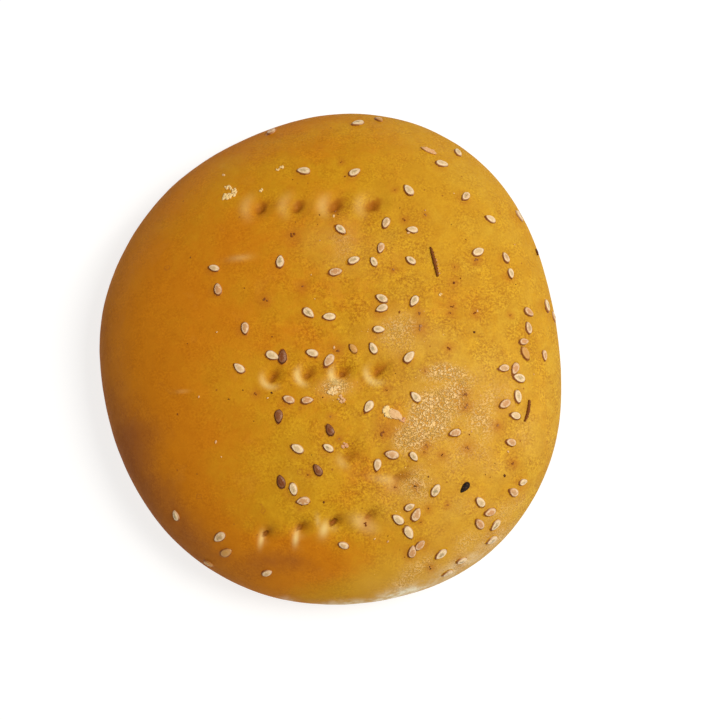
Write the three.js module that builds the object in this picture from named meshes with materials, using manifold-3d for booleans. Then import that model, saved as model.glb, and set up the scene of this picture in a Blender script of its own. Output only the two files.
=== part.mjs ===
// A flat round yellow bread roll. Its glazed crust has rows of fork pricks and
// carries sesame seeds and a few other bits of topping.
// Millimetres, +Z up. The origin is under the middle of the roll, on its flat base.
import * as THREE from 'three';
import { mergeVertices } from 'three/addons/utils/BufferGeometryUtils.js';
import Module from 'manifold-3d';

// The roll's height, and the height at which it is widest.
const ROLL_HEIGHT = 33;
const WAIST_HEIGHT = 11.5;

// The crown follows a superellipse: its fullness across and up.
const CROWN_FULLNESS_ACROSS = 2.8;
const CROWN_FULLNESS_UP = 2.0;

// The flat base, as a share of the widest outline.
const BASE_SHARE = 0.82;

// Seen from above the outline is a circle with a few gentle waves.
const MEAN_RADIUS = 55.16;
const OUTLINE_CENTRE = { x: 0.84, y: -0.43 };
const OUTLINE_WAVES = [
  { lobes: 2, height: 2.16, turnDeg: -87.4 },
  { lobes: 3, height: 1.02, turnDeg: -53.6 },
  { lobes: 4, height: 0.76, turnDeg: -30.7 },
];

// Rows of fork pricks: first and last prick, how many, and how deep.
const PRICK_RADIUS = 2.3;
const PRICK_FLOOR_SHARE = 0.25;
const PRICK_STRETCH = 1.25;
const PRICK_LEAN_DEG = 35;
const FORK_ROWS = [
  { from: [-15.4, 29.5], to: [9.5, 29.8], count: 4, depth: 1.4 },
  { from: [-12.0, -9.0], to: [10.8, -7.8], count: 4, depth: 1.3 },
  { from: [-13.5, -42.6], to: [9.0, -38.9], count: 4, depth: 1.8 },
  { from: [4.6, -26.4], to: [15.3, -30.8], count: 2, depth: 0.9 },
];

// The fork also pressed a soft trough along each row.
const TROUGH_DEPTH = 0.55;
const TROUGH_HALF_WIDTH = 6;

// Sesame seeds: size, how deep they sit, and how unequal they are.
const SESAME = { length: 3.0, width: 1.78, thickness: 0.95, taper: 0.2 };
const SESAME_LIFT = 0.1;
const SIZE_SPREAD = 0.14;

// The seeds fell in short strokes: first and last seed of each, and how many.
const SPRINKLE_SEED = 352056;
const SPRINKLE_DRIFT = 1.3;
const SPRINKLE_STROKES = [
  { from: [40.4, -15.6], to: [43.5, 2.6], count: 7 },
  { from: [11.4, 25.3], to: [10.2, 16.2], count: 3 },
  { from: [11.2, 9.2], to: [9.6, -2.4], count: 4 },
  { from: [-19.9, -6.0], to: [33.9, -40.5], count: 6 },
  { from: [18.5, 7.3], to: [16.9, -47.0], count: 6 },
  { from: [3.4, 23.4], to: [-6.6, -23.7], count: 6 },
  { from: [14.1, -38.6], to: [27.1, -49.9], count: 5 },
  { from: [-6.7, 39.6], to: [41.9, 29.5], count: 5 },
  { from: [41.9, -30.0], to: [37.4, -7.3], count: 4 },
  { from: [33.5, -35.0], to: [37.0, -41.9], count: 4 },
  { from: [36.4, 28.3], to: [48.8, -2.0], count: 4 },
  { from: [-10.4, -5.2], to: [-9.2, -31.0], count: 3 },
  { from: [-32.5, -37.5], to: [-14.4, -49.7], count: 3 },
  { from: [5.2, -3.3], to: [11.0, -28.1], count: 3 },
  { from: [-10.6, 15.9], to: [-0.4, -6.8], count: 3 },
  { from: [-24.4, 10.0], to: [-12.8, -4.8], count: 3 },
  { from: [-0.6, -23.5], to: [-5.1, -34.6], count: 3 },
  { from: [32.9, 20.5], to: [49.3, 10.6], count: 3 },
  { from: [6.3, 52.4], to: [10.6, 53.4], count: 2 },
  { from: [24.8, 39.8], to: [29.2, 44.9], count: 2 },
  { from: [18.0, 25.3], to: [17.9, 16.6], count: 2 },
  { from: [-25.8, 15.4], to: [5.9, 18.1], count: 2 },
  { from: [-7.4, -33.0], to: [3.3, -43.8], count: 2 },
  { from: [19.9, -39.7], to: [28.7, -47.5], count: 2 },
  { from: [-26.8, -46.8], to: [-23.0, -45.7], count: 2 },
  { from: [26.8, -22.3], to: [41.0, -32.6], count: 2 },
  { from: [-13.1, 51.0], to: [50.0, 7.9], count: 2 },
];

// Single bits of topping: place, size and the way they point.
const ODD_BITS = {
  blackSeed: { at: [29.5, -32.8], size: [2.5, 1.5, 1.2], turnDeg: 28 },
  longStalk: { at: [23.1, 16.9], size: [7.0, 0.62, 0.6], turnDeg: -80 },
  shortStalk: { at: [43.5, -15.4], size: [4.6, 0.6, 0.6], turnDeg: -104 },
  husk: { at: [22.4, 44.3], size: [3.4, 1.5, 0.7], turnDeg: -20 },
  upperFlake: { at: [-22.4, 33.4], size: [2.8, 2.2, 0.8], turnDeg: 50 },
  lowerFlake: { at: [14.1, -17.4], size: [3.2, 2.0, 0.8], turnDeg: -35 },
};

// How finely the surfaces are cut into facets.
const ROUND_STEPS = 64;
const CROWN_RINGS = 20;
const SIDE_RINGS = 6;
const PRICK_SIDES = 10;
const SEED_SIDES = 6;
const SEED_RINGS = 3;

const wasm = await Module();
wasm.setup();

// The outline's radius in a direction seen from above.
function outlineRadius(angle) {
  let radius = MEAN_RADIUS;
  for (const wave of OUTLINE_WAVES) {
    const turn = THREE.MathUtils.degToRad(wave.turnDeg);
    radius += wave.height * Math.cos(wave.lobes * (angle - turn));
  }
  return radius;
}

// The way across a point, as a share of the outline: 0 in the middle, 1 at the edge.
function shareAcross(x, y) {
  const dx = x - OUTLINE_CENTRE.x;
  const dy = y - OUTLINE_CENTRE.y;
  return Math.hypot(dx, dy) / outlineRadius(Math.atan2(dy, dx));
}

// The distance from a point to the straight stretch between two others.
function distanceToRow(x, y, row) {
  const [x0, y0] = row.from;
  const [x1, y1] = row.to;
  const along = ((x - x0) * (x1 - x0) + (y - y0) * (y1 - y0)) / ((x1 - x0) ** 2 + (y1 - y0) ** 2);
  const share = THREE.MathUtils.clamp(along, 0, 1);
  return Math.hypot(x - x0 - share * (x1 - x0), y - y0 - share * (y1 - y0));
}

// How far the fork's rows lower the crust at a point.
function troughDepth(x, y) {
  let depth = 0;
  for (const row of FORK_ROWS) {
    depth += TROUGH_DEPTH * Math.exp(-((distanceToRow(x, y, row) / TROUGH_HALF_WIDTH) ** 2));
  }
  return depth;
}

// The height of the crown over a point, fork rows included.
function crownHeight(x, y) {
  const share = Math.min(shareAcross(x, y), 1);
  const rise = (1 - share ** CROWN_FULLNESS_ACROSS) ** (1 / CROWN_FULLNESS_UP);
  return WAIST_HEIGHT + (ROLL_HEIGHT - WAIST_HEIGHT) * rise - troughDepth(x, y) * rise;
}

// The direction that the crown faces at a point.
function crownNormal(x, y) {
  const step = 0.2;
  const slopeX = (crownHeight(x + step, y) - crownHeight(x - step, y)) / (2 * step);
  const slopeY = (crownHeight(x, y + step) - crownHeight(x, y - step)) / (2 * step);
  return new THREE.Vector3(-slopeX, -slopeY, 1).normalize();
}

// A geometry's merged points and its triangles, as one closed solid.
function solidFrom(geometry) {
  geometry.deleteAttribute('normal');
  geometry.deleteAttribute('uv');
  const merged = mergeVertices(geometry, 1e-5);
  const corners = Array.from(merged.index.array);
  const kept = [];
  for (let i = 0; i < corners.length; i += 3) {
    const [a, b, c] = corners.slice(i, i + 3);
    if (a !== b && b !== c && c !== a) kept.push(a, b, c);
  }
  const mesh = new wasm.Mesh({
    numProp: 3,
    vertProperties: new Float32Array(merged.attributes.position.array),
    triVerts: new Uint32Array(kept),
  });
  return new wasm.Manifold(mesh);
}

// Half of the roll's section, from the middle of its base to the middle of its crown.
function sectionPoints() {
  const points = [new THREE.Vector2(0, 0)];
  for (let ring = 0; ring <= SIDE_RINGS; ring += 1) {
    const turn = (Math.PI / 2) * (1 - ring / SIDE_RINGS);
    const share = BASE_SHARE + (1 - BASE_SHARE) * Math.cos(turn);
    points.push(new THREE.Vector2(share, WAIST_HEIGHT * (1 - Math.sin(turn))));
  }
  for (let ring = 1; ring <= CROWN_RINGS; ring += 1) {
    const turn = (Math.PI / 2) * (1 - ring / CROWN_RINGS);
    const share = Math.sin(turn) ** (2 / CROWN_FULLNESS_ACROSS);
    points.push(new THREE.Vector2(share, WAIST_HEIGHT));
  }
  return points;
}

// The roll without pricks or toppings: the section turned round, then shaped to
// the outline and raised to the crown.
function makeLoaf() {
  const geometry = new THREE.LatheGeometry(sectionPoints(), ROUND_STEPS);
  geometry.rotateX(Math.PI / 2);
  const position = geometry.attributes.position;
  const rows = SIDE_RINGS + CROWN_RINGS + 2;
  for (let i = 0; i < position.count; i += 1) {
    const angle = Math.atan2(position.getY(i), position.getX(i));
    const reach = Math.hypot(position.getX(i), position.getY(i)) * outlineRadius(angle);
    const x = OUTLINE_CENTRE.x + reach * Math.cos(angle);
    const y = OUTLINE_CENTRE.y + reach * Math.sin(angle);
    const onCrown = i % rows > SIDE_RINGS + 1;
    position.setXYZ(i, x, y, onCrown ? crownHeight(x, y) : position.getZ(i));
  }
  return solidFrom(geometry);
}

// Stands a shape on the crust: its x axis along the surface, its z axis straight out.
function placeOnCrust(geometry, x, y, turnDeg, lift) {
  const out = crownNormal(x, y);
  const turn = THREE.MathUtils.degToRad(turnDeg);
  const along = new THREE.Vector3(Math.cos(turn), Math.sin(turn), 0);
  along.addScaledVector(out, -along.dot(out)).normalize();
  const across = new THREE.Vector3().crossVectors(out, along);
  const place = new THREE.Matrix4().makeBasis(along, across, out);
  place.setPosition(x + out.x * lift, y + out.y * lift, crownHeight(x, y) + out.z * lift);
  return geometry.applyMatrix4(place);
}

// One fork prick: a funnel with a small floor, longer in one direction.
function makePrick(x, y, depth) {
  const floor = PRICK_RADIUS * PRICK_FLOOR_SHARE;
  const points = [
    new THREE.Vector2(0, -depth),
    new THREE.Vector2(floor, -depth),
    new THREE.Vector2(PRICK_RADIUS, 0.1),
    new THREE.Vector2(PRICK_RADIUS, 1),
    new THREE.Vector2(0, 1),
  ];
  const geometry = new THREE.LatheGeometry(points, PRICK_SIDES);
  geometry.rotateX(Math.PI / 2);
  geometry.scale(PRICK_STRETCH, 1, 1);
  return solidFrom(placeOnCrust(geometry, x, y, PRICK_LEAN_DEG, 0));
}

// All pricks of one row, evenly spaced.
function makeForkRow(row) {
  const pricks = [];
  for (let i = 0; i < row.count; i += 1) {
    const share = i / (row.count - 1);
    const x = THREE.MathUtils.lerp(row.from[0], row.to[0], share);
    const y = THREE.MathUtils.lerp(row.from[1], row.to[1], share);
    pricks.push(makePrick(x, y, row.depth));
  }
  return pricks;
}

// A flat drop-shaped body with one end narrower, for seeds and flakes.
function makeDrop(length, width, thickness, taper) {
  const geometry = new THREE.SphereGeometry(0.5, SEED_SIDES, SEED_RINGS);
  geometry.rotateZ(Math.PI / 2);
  const position = geometry.attributes.position;
  for (let i = 0; i < position.count; i += 1) {
    const narrow = 1 - 2 * taper * position.getX(i);
    const y = position.getY(i) * narrow;
    position.setXYZ(i, length * position.getX(i), width * y, thickness * position.getZ(i));
  }
  return geometry;
}

// The same draws every time: a small congruential generator.
function makeDraw(start) {
  let state = start;
  return () => {
    state = (Math.imul(state, 1664525) + 1013904223) >>> 0;
    return state / 2 ** 32;
  };
}

// Every sesame seed, stroke by stroke, each drifting a little from its place.
function makeSesame() {
  const draw = makeDraw(SPRINKLE_SEED);
  const seeds = [];
  for (const stroke of SPRINKLE_STROKES) {
    for (let i = 0; i < stroke.count; i += 1) {
      const share = i / (stroke.count - 1);
      const driftX = (2 * draw() - 1) * SPRINKLE_DRIFT;
      const driftY = (2 * draw() - 1) * SPRINKLE_DRIFT;
      const turnDeg = 360 * draw();
      const size = 1 + (2 * draw() - 1) * SIZE_SPREAD;
      const thickness = SESAME.thickness * (1 + (2 * draw() - 1) * SIZE_SPREAD);
      const x = THREE.MathUtils.lerp(stroke.from[0], stroke.to[0], share) + driftX;
      const y = THREE.MathUtils.lerp(stroke.from[1], stroke.to[1], share) + driftY;
      const drop = makeDrop(size * SESAME.length, size * SESAME.width, thickness, SESAME.taper);
      seeds.push(solidFrom(placeOnCrust(drop, x, y, turnDeg, SESAME_LIFT)));
    }
  }
  return seeds;
}

// The black seed, the two stalks, the husk and the flakes.
function makeOddBits() {
  const bits = [];
  for (const bit of Object.values(ODD_BITS)) {
    const [length, width, thickness] = bit.size;
    const drop = makeDrop(length, width, thickness, 0);
    bits.push(solidFrom(placeOnCrust(drop, bit.at[0], bit.at[1], bit.turnDeg, SESAME_LIFT)));
  }
  return bits;
}

// The largest body of a solid, so that no loose scrap stays.
function largestBody(solid) {
  const bodies = solid.decompose();
  return bodies.reduce((best, body) => (body.volume() > best.volume() ? body : best));
}

// A solid's triangles as a geometry with flat facets.
function geometryFrom(solid) {
  const mesh = solid.getMesh();
  const geometry = new THREE.BufferGeometry();
  geometry.setAttribute('position', new THREE.BufferAttribute(new Float32Array(mesh.vertProperties), 3));
  geometry.setIndex(new THREE.BufferAttribute(new Uint32Array(mesh.triVerts), 1));
  geometry.computeVertexNormals();
  return geometry;
}

// The whole roll: crust pricked by the fork, then its toppings fused on.
function makeRoll() {
  let roll = makeLoaf();
  for (const row of FORK_ROWS) {
    for (const prick of makeForkRow(row)) roll = roll.subtract(prick);
  }
  for (const topping of [...makeSesame(), ...makeOddBits()]) roll = roll.add(topping);
  return geometryFrom(largestBody(roll));
}

const crust = new THREE.MeshStandardMaterial({ color: 0xcd8f26, roughness: 0.5, metalness: 0 });
const rollMesh = new THREE.Mesh(makeRoll(), crust);
rollMesh.name = 'bread_roll';

const group = new THREE.Group();
group.add(rollMesh);

export default group;
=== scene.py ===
import math
from types import SimpleNamespace

import bpy
import numpy as np
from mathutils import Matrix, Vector, noise
from mathutils.bvhtree import BVHTree


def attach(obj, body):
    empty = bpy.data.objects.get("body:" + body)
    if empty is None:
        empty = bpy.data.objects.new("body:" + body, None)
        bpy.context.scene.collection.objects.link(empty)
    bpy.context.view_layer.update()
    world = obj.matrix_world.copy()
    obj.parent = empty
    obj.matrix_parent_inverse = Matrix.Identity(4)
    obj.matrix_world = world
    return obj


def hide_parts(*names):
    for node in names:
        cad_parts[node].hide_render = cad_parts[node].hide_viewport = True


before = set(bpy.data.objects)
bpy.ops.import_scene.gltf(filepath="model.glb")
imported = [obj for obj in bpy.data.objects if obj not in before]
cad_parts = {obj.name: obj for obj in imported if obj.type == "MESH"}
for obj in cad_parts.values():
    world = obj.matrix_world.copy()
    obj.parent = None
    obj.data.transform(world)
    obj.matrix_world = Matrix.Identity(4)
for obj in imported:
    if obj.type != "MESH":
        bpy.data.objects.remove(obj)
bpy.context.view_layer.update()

MM = 0.001

# The roll's height, and the height at which it is widest.
ROLL_HEIGHT = 33.0
WAIST_HEIGHT = 11.5

# The crown follows a superellipse: its fullness across and up.
FULLNESS_ACROSS = 2.8
FULLNESS_UP = 2.0

# The flat base, as a share of the widest outline.
BASE_SHARE = 0.82

# Seen from above the outline is a circle with gentle waves: lobes, height, turn in degrees.
# A scratch program fitted its radius, middle and waves to the photograph's outline.
MEAN_RADIUS = 55.16
OUTLINE_X = 0.84
OUTLINE_Y = -0.43
OUTLINE_WAVES = [(2, 2.16, -87.4), (3, 1.02, -53.6), (4, 0.76, -30.7)]

# Fork rows: first and last prick, how many, and how deep.
FORK_ROWS = [
    ((-15.4, 29.5), (9.5, 29.8), 4, 1.4),
    ((-12, -9), (10.8, -7.8), 4, 1.3),
    ((-13.5, -42.6), (9, -38.9), 4, 1.8),
    ((4.6, -26.4), (15.3, -30.8), 2, 0.9),
]
# The inside of the pricks, row by row: how dark the tip and the hollow are, which is painted
# shade, and in the hollow partly browner crust; lean, size, and how much of their depth is a wide
# dent.
ROW_HOLLOWS = [
    (0.3, 0.9, 50, 1.3, 0.45),
    (0.75, 0.7, 52, 1, 0.45),
    (1, 0.35, 42, 1, 0.2),
    (0.4, 0.5, 20, 1.15, 0.45),
]
# The painted highlight on one side of the pricks: how pale, which way in degrees, how narrow, how
# far, how wide.
ROW_PAINTED_HIGHLIGHTS = [
    (0.4, 185, 2, 3, 1.2),
    (1, 215, 1.8, 2.5, 0.65),
    (0.3, 230, 3, 1.6, 0.65),
    (0.35, 220, 3, 2.2, 0.8),
]
TROUGH_DEPTH = 0.55
TROUGH_HALF_WIDTH = 6.0
PRICK_STRETCH = 1.25
# Each prick is a bowl with a narrow core, and a low lip round it.
BOWL_RADIUS = 1.9
CORE_RADIUS = 0.85
CORE_STRETCH = 1.5
LIP_RADIUS = 3.0
LIP_WIDTH = 0.8

# Sesame seeds: their size, how deep they sit, and how unequal they are.
SESAME_LENGTH = 3.0
SESAME_WIDTH = 1.78
SESAME_THICKNESS = 0.95
SESAME_TAPER = 0.2
SESAME_LIFT = 0.1
# The bare seed, as a share of the seed with the darker glaze ring round it, which is partly
# painted shade.
SESAME_BARE = 0.94
# The side of each seed where a shadow is painted and glaze pooled, and how far the glaze ring
# shifts that way.
SHADOW_AND_POOL_SIDE = (-0.75, -0.66)
SHADOW_AND_POOL_SHIFT = 0.14
SIZE_SPREAD = 0.14

# Rows of sesame seeds: first and last seed of each, and how many. The rows aren't real: the
# seeds' places in the photograph were grouped into them. The start number was found by a search
# too, for the drift that brings the seeds nearest to those places.
SPRINKLE_SEED = 352056
SPRINKLE_DRIFT = 1.3
SPRINKLE_STROKES = [
    ((40.4, -15.6), (43.5, 2.6), 7), ((11.4, 25.3), (10.2, 16.2), 3),
    ((11.2, 9.2), (9.6, -2.4), 4), ((-19.9, -6), (33.9, -40.5), 6),
    ((18.5, 7.3), (16.9, -47), 6), ((3.4, 23.4), (-6.6, -23.7), 6),
    ((14.1, -38.6), (27.1, -49.9), 5), ((-6.7, 39.6), (41.9, 29.5), 5),
    ((41.9, -30), (37.4, -7.3), 4), ((33.5, -35), (37, -41.9), 4),
    ((36.4, 28.3), (48.8, -2), 4), ((-10.4, -5.2), (-9.2, -31), 3),
    ((-32.5, -37.5), (-14.4, -49.7), 3), ((5.2, -3.3), (11, -28.1), 3),
    ((-10.6, 15.9), (-0.4, -6.8), 3), ((-24.4, 10), (-12.8, -4.8), 3),
    ((-0.6, -23.5), (-5.1, -34.6), 3), ((32.9, 20.5), (49.3, 10.6), 3),
    ((6.3, 52.4), (10.6, 53.4), 2), ((24.8, 39.8), (29.2, 44.9), 2),
    ((18, 25.3), (17.9, 16.6), 2), ((-25.8, 15.4), (5.9, 18.1), 2),
    ((-7.4, -33), (3.3, -43.8), 2), ((19.9, -39.7), (28.7, -47.5), 2),
    ((-26.8, -46.8), (-23, -45.7), 2), ((26.8, -22.3), (41, -32.6), 2),
    ((-13.1, 51), (50, 7.9), 2),
]

# Soft-edged patches on the crust: centre x and y, half length, half width, turn, strength.
# Dusty glaze: the pale veil of these patches is partly a painted sheen.
DUSTY_AND_SHEEN_PATCHES = [
    (23.6, -16.5, 9, 4.6, 40, 1),
    (18, -21.5, 4.6, 3.2, 62, 1),
    (25, -8.5, 5, 2.4, 5, 0.7),
    (18, -33, 6.5, 4.5, 35, 0.5),
    (31, -18, 17, 13, 10, 0.34),
    (3, 20, 8, 7, 0, 0.3),
    (2, -11.5, 4, 2.2, 10, 0.8),
    (16, 0, 7, 5, 0, 0.45),
    (30, -40, 12, 8, 40, 0.2),
    (34, -43, 15, 5, 42, 0.4),
    (19, -51, 11, 4.5, 18, 0.42),
]
FLOUR_PATCHES = [
    (15, -55.4, 8, 1.2, 17, 1.7),
    (5, -57.1, 9, 0.8, 3, 1.1),
    (-9.5, -56, 2.2, 0.6, -5, 0.5),
    (28, -49.5, 13, 1.6, 32, 0.5),
]
BROWN_PATCHES = [
    (-8, -48.6, 14, 4.2, -8, 1.05),
    (-40, -22, 10, 8, 70, 0.4),
    (-31, -38, 15, 7, -45, 0.5),
    (-24, 21, 9, 7, 0, 0.25),
    (8, -19, 7, 4, 0, 0.25),
    (4, 46, 24, 6, 0, 0.2),
    (33, 8, 5, 8, 20, 0.15),
]
GOLD_PATCHES = [
    (-9, -26, 13, 12, 0, 0.5),
    (-20, -9, 7, 7, 0, 0.28),
    (-6, -6, 14, 4, 0, 0.2),
    (-28, 31, 15, 11, 40, 0.36),
    (-4, -38.5, 13, 4, 5, 0.35),
    (4, -53, 16, 3, 5, 0.4),
]

# Short streaks in the same terms: painted highlights, most beside the near pricks, and painted
# shade in creases.
PAINTED_HIGHLIGHT_STREAKS = [
    (-19.6, 17.6, 2.4, 0.7, 5, 0.3),
    (12.3, -31.2, 2.8, 0.8, -8, 0.4),
    (7.6, -40.5, 2.5, 1.3, -28, 0.6),
    (-14.6, -43.7, 1.5, 0.55, 82, 0.85),
    (-7, -43.5, 1.5, 0.6, 82, 0.95),
    (-0.9, -41.7, 1.5, 0.9, 75, 0.8),
    (-2.2, -40, 1.4, 0.5, 100, 0.4),
    (-31.8, -11.9, 1.3, 0.35, 0, 0.2),
]
SHADED_CREASES = [
    (11.6, -7.2, 2.3, 0.45, 36, 0.9),
    (17.5, -29.8, 2, 0.8, 20, 0.45),
    (-23.5, 16.6, 2.2, 1.4, 10, 0.3),
]

# Small blisters: how many, and how far from the middle they lie.
SMALL_BLISTERS = 170
BLISTER_REACH = 52.0
# Bumps and dents that stand out: centre x and y, half length, half width, turn, height.
PLACED_BUMPS = [
    (-32.4, -12.2, 1.5, 0.55, 0, 0.32),
    (-28.8, -12.6, 1.2, 0.5, 0, 0.28),
    (-27.5, -10, 2.4, 0.8, 10, -0.25),
    (-19.6, 17.4, 2.4, 0.8, 2, 0.3),
    (-23.5, 16.8, 1.6, 1.4, 0, -0.2),
    (11.9, -6.9, 2.6, 0.5, 38, -0.45),
]

# Brown spots of spice that stand out: place, length and redness.
PLACED_SPOTS = [
    (27, 6.8, 1, 0.7), (26.5, 5.2, 0.8, 1.2), (32.1, 5.3, 1.1, 1),
    (40.2, 5.7, 0.6, 0.7), (19.7, 4.8, 1, 1.4), (19.9, 1.4, 1.7, 1.7),
    (26.2, -2.6, 1.1, 1), (24.5, -25.9, 0.8, 0.6), (30, -24.3, 1, 1.4),
    (40.3, -26.9, 1, 1.2), (36.9, -19.2, 1.1, 1.6), (12, -21.4, 1.8, 1.2),
    (-7.9, 22.7, 1.5, 0.9), (1.9, -3.4, 1.4, 1.3), (18.9, -32.6, 0.9, 0.3),
    (20.3, -44.8, 1.1, 0.8), (22.3, -49.4, 0.9, 0.3), (25.7, -36.4, 0.8, 1.3),
    (14.6, 33.6, 0.5, 1), (2.6, 40.6, 0.5, 0.7),
]

# How finely the crust is cut: steps of its grid, and rings across its base.
CRUST_STEPS = 288
BASE_RINGS = 6


def draws(start):
    """The same draws every time, from 0 to 1: a small congruential generator."""
    state = start
    while True:
        state = (state * 1664525 + 1013904223) % 2**32
        yield state / 2**32


def swing(draw):
    """The next draw, spread from -1 to 1."""
    return 2 * next(draw) - 1


def smooth_step(value, low, high):
    """0 below low, 1 above high, and an eased rise between them."""
    share = np.clip((value - low) / (high - low), 0, 1)
    return share * share * (3 - 2 * share)


def bell(value):
    """1 at zero, fading out smoothly on both sides."""
    return np.exp(-(value**2))


# Camera, light and floor

CAMERA_ELEVATION_DEG = 79.0
CAMERA_DISTANCE = 388.2
CAMERA_AIM = (6.84, -1.71, 13.0)
CAMERA_LENS = 85.0


def add_object(name, data):
    """A new object in the scene."""
    made = bpy.data.objects.new(name, data)
    bpy.context.scene.collection.objects.link(made)
    return made


def make_camera():
    """The camera of the photograph: almost overhead, a little towards the near side."""
    elevation = math.radians(CAMERA_ELEVATION_DEG)
    back = Vector((0, -math.cos(elevation), math.sin(elevation)))
    camera = add_object("camera", bpy.data.cameras.new("camera"))
    camera.data.lens = CAMERA_LENS
    camera.location = (Vector(CAMERA_AIM) + back * CAMERA_DISTANCE) * MM
    camera.rotation_euler = (-back).to_track_quat("-Z", "Y").to_euler()
    camera.data.clip_start = 0.01
    bpy.context.scene.camera = camera


def add_softbox(name, azimuth_deg, elevation_deg, distance, size, power, tint):
    """A square area light that looks at the roll from a direction and a distance in metres."""
    azimuth = math.radians(azimuth_deg)
    elevation = math.radians(elevation_deg)
    away = Vector((
        math.cos(azimuth) * math.cos(elevation),
        math.sin(azimuth) * math.cos(elevation),
        math.sin(elevation),
    ))
    light = add_object(name, bpy.data.lights.new(name, "AREA"))
    light.data.size = size
    light.data.energy = power
    light.data.color = tint
    light.location = away * distance
    light.rotation_euler = (-away).to_track_quat("-Z", "Y").to_euler()


def make_lights():
    """A large soft light high on the right, a small low one far right, and a pale room."""
    add_softbox("key", -2, 64, 0.7, 0.26, 3.9, (1.0, 0.97, 0.91))
    add_softbox("low_right", 32, 38, 0.9, 0.07, 0.8, (1.0, 0.96, 0.88))
    world = bpy.data.worlds.new("pale_room")
    world.use_nodes = True
    background = world.node_tree.nodes["Background"]
    background.inputs["Color"].default_value = (1.0, 0.96, 0.88, 1)
    background.inputs["Strength"].default_value = 0.31
    bpy.context.scene.world = world


def make_floor():
    """A wide pale floor, bright enough to read as a white table top."""
    graph = Graph("floor_white")
    graph.put(graph.shader, {
        "Base Color": (0.3, 0.3, 0.3),
        "Roughness": 0.9,
        "Emission Color": (1, 1, 1),
        "Emission Strength": 0.76,
    })
    half = 6000
    corners = [(-half, -half, 0), (half, -half, 0), (half, half, 0), (-half, half, 0)]
    mesh_object("floor", corners, [(0, 1, 2, 3)], graph.material)


# Shader graphs


class Graph:
    """A material and short ways to add nodes to it."""

    def __init__(self, name):
        self.material = bpy.data.materials.new(name)
        self.material.use_nodes = True
        self.tree = self.material.node_tree
        self.shader = self.tree.nodes["Principled BSDF"]

    def put(self, node, sockets):
        """Links or sets a node's sockets. Colours are plain triples."""
        for socket, value in sockets.items():
            if isinstance(value, bpy.types.NodeSocket):
                self.tree.links.new(value, node.inputs[socket])
            elif isinstance(value, tuple):
                node.inputs[socket].default_value = (*value, 1)
            else:
                node.inputs[socket].default_value = value

    def node(self, kind, sockets, **settings):
        """A new node with its settings and its input sockets."""
        made = self.tree.nodes.new("ShaderNode" + kind)
        for key, value in settings.items():
            setattr(made, key, value)
        self.put(made, sockets)
        return made

    def place(self):
        """The point on the object, in metres."""
        return self.node("TexCoord", {}).outputs["Object"]

    def mask(self, name):
        """A value that the mesh carries at each of its points."""
        return self.node("Attribute", {}, attribute_name=name).outputs["Fac"]

    def grain(self, size_mm, detail=2.0, roughness=0.5, distortion=0.0):
        """Cloudy noise with features of a size in millimetres."""
        sockets = {
            "Vector": self.place(),
            "Scale": 1 / (size_mm * MM),
            "Detail": detail,
            "Roughness": roughness,
            "Distortion": distortion,
        }
        return self.node("TexNoise", sockets).outputs["Fac"]

    def cells(self, size_mm, output="Distance"):
        """Cells of a size in millimetres."""
        sockets = {"Vector": self.place(), "Scale": 1 / (size_mm * MM)}
        return self.node("TexVoronoi", sockets).outputs[output]

    def math(self, operation, a, b=0.0, clamp=False):
        """One sum of two values."""
        made = self.node("Math", {0: a, 1: b}, operation=operation, use_clamp=clamp)
        return made.outputs[0]

    def plus(self, total, *others, clamp=False):
        """The sum of some values."""
        for other in others:
            total = self.math("ADD", total, other, clamp)
        return total

    def times(self, product, *others, clamp=False):
        """The product of some values."""
        for other in others:
            product = self.math("MULTIPLY", product, other, clamp)
        return product

    def fit(self, value, low, high, to_low=0.0, to_high=1.0):
        """Eases a value from one range to another."""
        sockets = {0: value, 1: low, 2: high, 3: to_low, 4: to_high}
        made = self.node("MapRange", sockets, interpolation_type="SMOOTHSTEP")
        return made.outputs[0]

    def vary(self, noise_value, to_low, to_high):
        """Eases noise, which mostly lies from 0.3 to 0.7, to a range."""
        return self.fit(noise_value, 0.3, 0.7, to_low, to_high)

    def blend(self, share, a, b, kind="MIX"):
        """Mixes two colours."""
        made = self.node("Mix", {0: share, 6: a, 7: b}, data_type="RGBA", blend_type=kind)
        return made.outputs[2]

    def paint(self, tint, *coats):
        """Lays coats over a tint, each with its share and its colour."""
        for share, coat in coats:
            tint = self.blend(share, tint, coat)
        return tint

    def finish(self, tint, rough, normal, ior=1.5, gloss=(1, 1, 1)):
        """Joins the looks to the shader and gives the material."""
        self.put(self.shader, {
            "Base Color": tint,
            "Roughness": rough,
            "Normal": normal,
            "IOR": ior,
            "Specular Tint": gloss,
        })
        return self.material

    def bump(self, height, depth_mm, strength, under=None):
        """Turns a height from 0 to 1 into a bent normal."""
        sockets = {"Height": height, "Distance": depth_mm * MM, "Strength": strength}
        if under is not None:
            sockets["Normal"] = under
        return self.node("Bump", sockets).outputs["Normal"]


# The roll's form


def outline_radius(angle):
    """The outline's radius in a direction seen from above."""
    radius = MEAN_RADIUS + 0 * angle
    for lobes, height, turn in OUTLINE_WAVES:
        radius = radius + height * np.cos(lobes * (angle - math.radians(turn)))
    return radius


def share_across(x, y):
    """The way across a point: 0 in the middle, 1 at the widest outline."""
    dx = x - OUTLINE_X
    dy = y - OUTLINE_Y
    return np.hypot(dx, dy) / outline_radius(np.arctan2(dy, dx))


def distance_to_row(x, y, start, end):
    """The distance from points to the straight stretch between two others."""
    run_x = end[0] - start[0]
    run_y = end[1] - start[1]
    along = ((x - start[0]) * run_x + (y - start[1]) * run_y) / (run_x**2 + run_y**2)
    along = np.clip(along, 0, 1)
    return np.hypot(x - start[0] - along * run_x, y - start[1] - along * run_y)


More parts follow.
